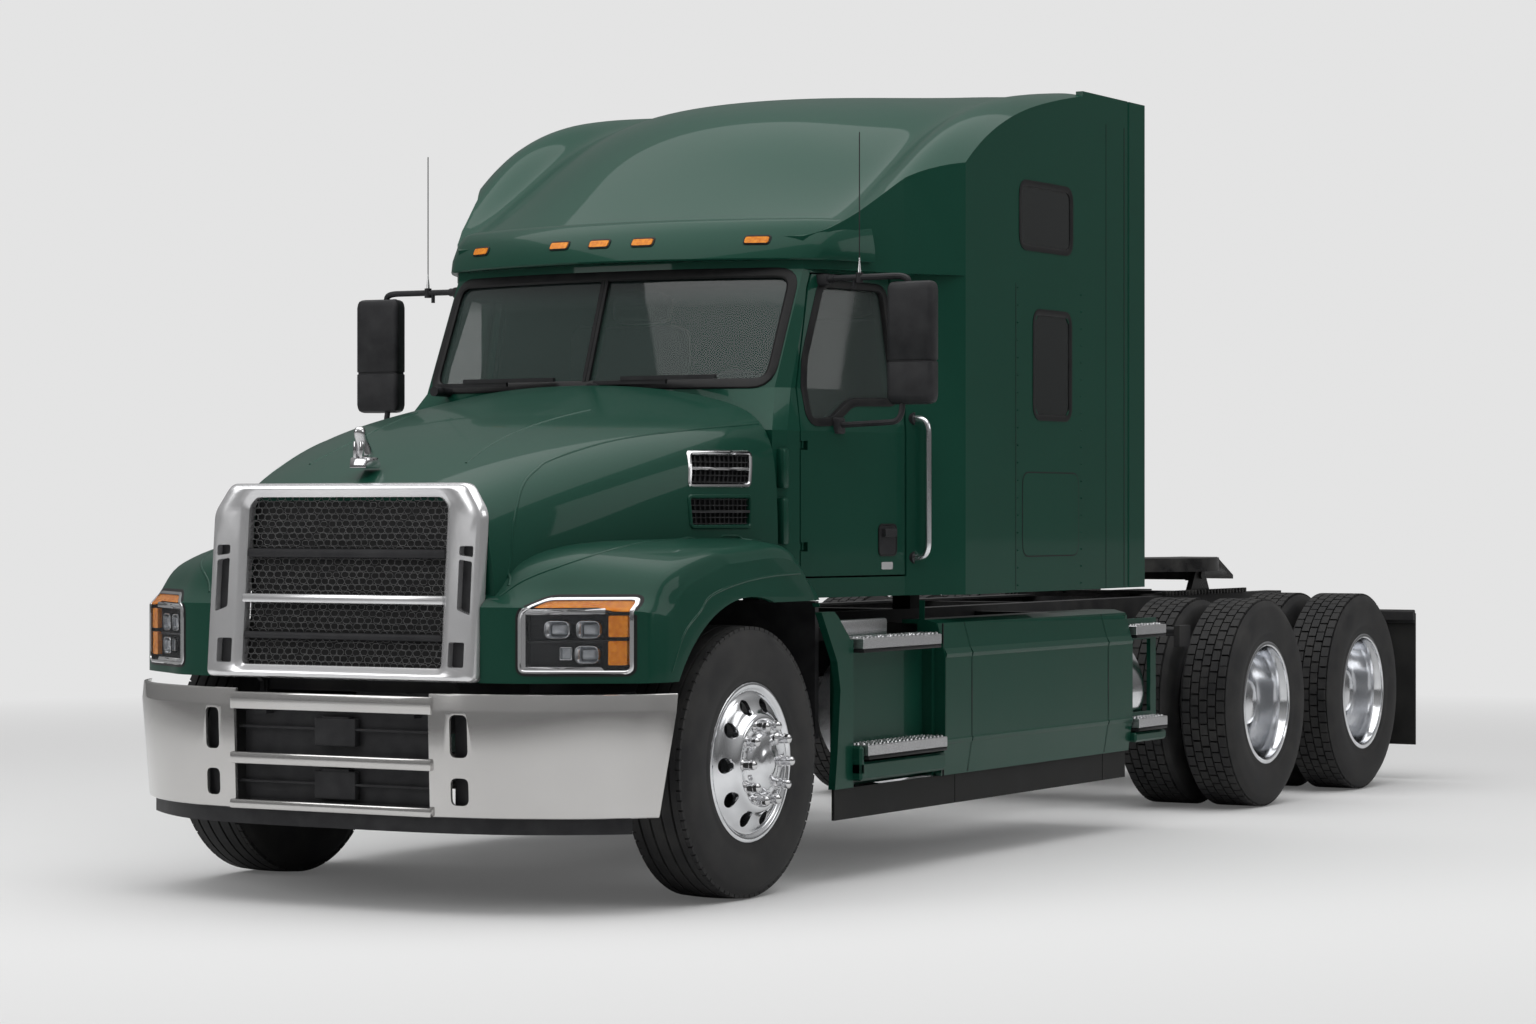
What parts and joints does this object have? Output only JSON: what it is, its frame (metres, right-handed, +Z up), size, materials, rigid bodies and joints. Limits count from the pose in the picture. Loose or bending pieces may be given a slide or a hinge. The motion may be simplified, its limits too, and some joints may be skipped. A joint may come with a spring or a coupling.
{
  "type": "semi truck tractor unit",
  "caption": "Long-nose highway tractor with a sleeper cab, chrome grille and bumper, side fairings, steered front wheels, twin drive wheels and a tilting coupling plate.",
  "frame": {"origin": "on the ground, under the middle of the vehicle's box", "axes": "-Y forward, +X to the vehicle's left, +Z up"},
  "size_m": [2.8, 8.112, 3.2942],
  "materials": {
    "paint_green": "glossy metallic dark green",
    "chrome": "polished",
    "polished_aluminium": "polished",
    "tread_aluminium": "brushed",
    "frame_black": "satin black",
    "cast_black": "greased black",
    "engine_grey": "matte",
    "black_plastic": "fine grain",
    "rubber_black": "matte",
    "tyre_rubber": "matte",
    "window_glass": "clear greenish",
    "lamp_clear": "clear lens over dark housing",
    "lamp_amber": "amber lens",
    "seat_fabric": "woven grey",
    "trim_grey": "grained"
  },
  "bodies": {
    "chassis": {"frame_rails": "frame_black", "crossmembers": "frame_black", "front_axle": "cast_black", "suspension": "cast_black", "air_springs": "rubber_black", "drive_axles": "cast_black", "driveline": "frame_black", "engine": "engine_grey", "bumper": "chrome", "bumper_core": "black_plastic", "cab": "paint_green", "cab_floor": "paint_green", "cab_back": "paint_green", "cab_mounts": "rubber_black", "roof": "paint_green", "visor": "paint_green", "lamps": "lamp_amber", "windows": "window_glass", "extenders": "paint_green", "dashboard": "trim_grey", "seat_bases": "trim_grey", "seats": "seat_fabric", "wipers": "black_plastic", "grab_handles": "polished_aluminium", "side_fairings": "paint_green", "steps": "tread_aluminium", "skirts": "rubber_black", "tanks": "polished_aluminium", "fairing_brackets": "frame_black", "fifth_wheel_base": "cast_black", "mudflaps": "rubber_black"},
    "hood": {"hood": "paint_green", "grille_surround": "chrome", "grille_mesh": "black_plastic", "headlamps": "lamp_clear", "hood_vents": "black_plastic", "hood_ornament": "chrome"},
    "door_left": {"door_left": "paint_green", "door_glass_left": "window_glass", "mirror_left": "black_plastic"},
    "door_right": {"door_right": "paint_green", "door_glass_right": "window_glass", "mirror_right": "black_plastic"},
    "fifth_wheel_plate": {"fifth_wheel_plate": "cast_black"},
    "knuckle_left": {"knuckle_left": "cast_black"},
    "knuckle_right": {"knuckle_right": "cast_black"},
    "track_rod": {"track_rod": "frame_black"},
    "wheel_front_left": {"tyre_front_left": "tyre_rubber", "wheel_front_left": "polished_aluminium"},
    "wheel_front_right": {"tyre_front_right": "tyre_rubber", "wheel_front_right": "polished_aluminium"},
    "wheel_mid_left": {"tyres_mid_left": "tyre_rubber", "wheel_mid_left": "polished_aluminium"},
    "wheel_mid_right": {"tyres_mid_right": "tyre_rubber", "wheel_mid_right": "polished_aluminium"},
    "wheel_rear_left": {"tyres_rear_left": "tyre_rubber", "wheel_rear_left": "polished_aluminium"},
    "wheel_rear_right": {"tyres_rear_right": "tyre_rubber", "wheel_rear_right": "polished_aluminium"}
  },
  "joints": [
    {"name": "hood_tilt", "type": "hinge", "parent": "chassis", "child": "hood", "pos_m": [0, -3.899, 0.85], "axis": [1, 0, 0], "range_deg": [0, 60]},
    {"name": "door_left_swing", "type": "hinge", "parent": "chassis", "child": "door_left", "pos_m": [0.926, -2.199, 1.5], "axis": [0, 0, -1], "range_deg": [0, 65]},
    {"name": "door_right_swing", "type": "hinge", "parent": "chassis", "child": "door_right", "pos_m": [-0.926, -2.199, 1.5], "axis": [0, 0, 1], "range_deg": [0, 65]},
    {"name": "plate_tilt", "type": "hinge", "parent": "chassis", "child": "fifth_wheel_plate", "pos_m": [0, 2.956, 1.11], "axis": [1, 0, 0], "range_deg": [-12, 12]},
    {"name": "steer_left", "type": "hinge", "parent": "chassis", "child": "knuckle_left", "pos_m": [0.87, -2.994, 0.509], "axis": [0, 0, 1], "range_deg": [-35, 35]},
    {"name": "steer_right", "type": "hinge", "parent": "chassis", "child": "knuckle_right", "pos_m": [-0.87, -2.994, 0.509], "axis": [0, 0, 1], "range_deg": [-35, 35]},
    {"name": "track_rod_pivot", "type": "hinge", "parent": "knuckle_left", "child": "track_rod", "pos_m": [0.87, -2.794, 0.359], "axis": [0, 0, 1], "range_deg": [-35, 35]},
    {"name": "wheel_front_left_spin", "type": "hinge", "parent": "knuckle_left", "child": "wheel_front_left", "pos_m": [1.03, -2.994, 0.509], "axis": [1, 0, 0], "continuous": true},
    {"name": "wheel_front_right_spin", "type": "hinge", "parent": "knuckle_right", "child": "wheel_front_right", "pos_m": [-1.03, -2.994, 0.509], "axis": [1, 0, 0], "continuous": true},
    {"name": "wheel_mid_left_spin", "type": "hinge", "parent": "chassis", "child": "wheel_mid_left", "pos_m": [0.9, 1.967, 0.509], "axis": [1, 0, 0], "continuous": true},
    {"name": "wheel_mid_right_spin", "type": "hinge", "parent": "chassis", "child": "wheel_mid_right", "pos_m": [-0.9, 1.967, 0.509], "axis": [1, 0, 0], "continuous": true},
    {"name": "wheel_rear_left_spin", "type": "hinge", "parent": "chassis", "child": "wheel_rear_left", "pos_m": [0.9, 3.289, 0.509], "axis": [1, 0, 0], "continuous": true},
    {"name": "wheel_rear_right_spin", "type": "hinge", "parent": "chassis", "child": "wheel_rear_right", "pos_m": [-0.9, 3.289, 0.509], "axis": [1, 0, 0], "continuous": true}
  ],
  "couplings": [
    {"joint": "steer_right", "follows": "steer_left", "ratio": 1},
    {"joint": "track_rod_pivot", "follows": "steer_left", "ratio": -1}
  ]
}
